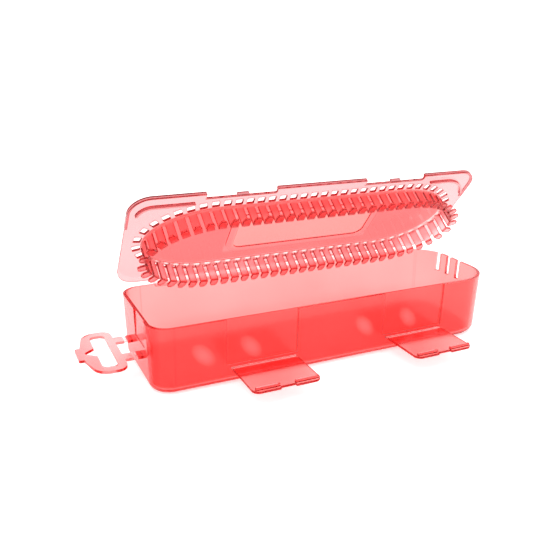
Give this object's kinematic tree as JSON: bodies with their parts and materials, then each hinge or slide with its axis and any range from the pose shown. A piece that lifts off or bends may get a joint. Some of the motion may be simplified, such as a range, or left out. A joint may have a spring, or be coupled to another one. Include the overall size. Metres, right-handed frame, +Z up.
{
  "type": "hinged storage case",
  "caption": "Long translucent plastic storage case with a half-open lid, a ring of spring fingers inside the lid, two folded-out front latches and a hang tab.",
  "frame": {"origin": "middle of the tray's flat underside, on the surface the case stands on", "axes": "+X along the case, away from the hang tab; +Y towards the lid hinge; +Z up"},
  "size_m": [0.1953, 0.0827, 0.0778],
  "materials": {
    "tray": "translucent red, satin",
    "lid": "translucent rose, gloss",
    "fingers": "translucent rose, gloss",
    "latches": "translucent red, gloss",
    "hang_tab": "translucent rose, satin",
    "hinge_webs": "translucent rose, stress-whitened"
  },
  "bodies": {
    "tray": {"base_tray": "tray"},
    "lid": {"lid": "lid", "finger_collar": "fingers", "lid_hinge_web_left": "hinge_webs", "lid_hinge_web_middle": "hinge_webs", "lid_hinge_web_right": "hinge_webs"},
    "latch_left": {"latch_left": "latches", "latch_left_hinge_web": "hinge_webs"},
    "latch_right": {"latch_right": "latches", "latch_right_hinge_web": "hinge_webs"},
    "hang_tab": {"hang_tab": "hang_tab", "hang_tab_hinge_web_front": "hinge_webs", "hang_tab_hinge_web_back": "hinge_webs"}
  },
  "joints": [
    {"name": "lid_hinge", "type": "hinge", "parent": "tray", "child": "lid", "pos_m": [0, 0.0303, 0.031], "axis": [-1, 0, 0], "range_deg": [-51.9, 128.1], "deforming": ["lid_hinge_web_left", "lid_hinge_web_middle", "lid_hinge_web_right"]},
    {"name": "latch_left_hinge", "type": "hinge", "parent": "tray", "child": "latch_left", "pos_m": [-0.0373, -0.0275, 0.0078], "axis": [-1, 0, 0], "range_deg": [-15, 90], "deforming": ["latch_left_hinge_web"]},
    {"name": "latch_right_hinge", "type": "hinge", "parent": "tray", "child": "latch_right", "pos_m": [0.0387, -0.0275, 0.0078], "axis": [-1, 0, 0], "range_deg": [-15, 90], "deforming": ["latch_right_hinge_web"]},
    {"name": "hang_tab_hinge", "type": "hinge", "parent": "tray", "child": "hang_tab", "pos_m": [-0.0876, 0, 0.012], "axis": [0, 1, 0], "range_deg": [-30, 90], "deforming": ["hang_tab_hinge_web_front", "hang_tab_hinge_web_back"]}
  ]
}
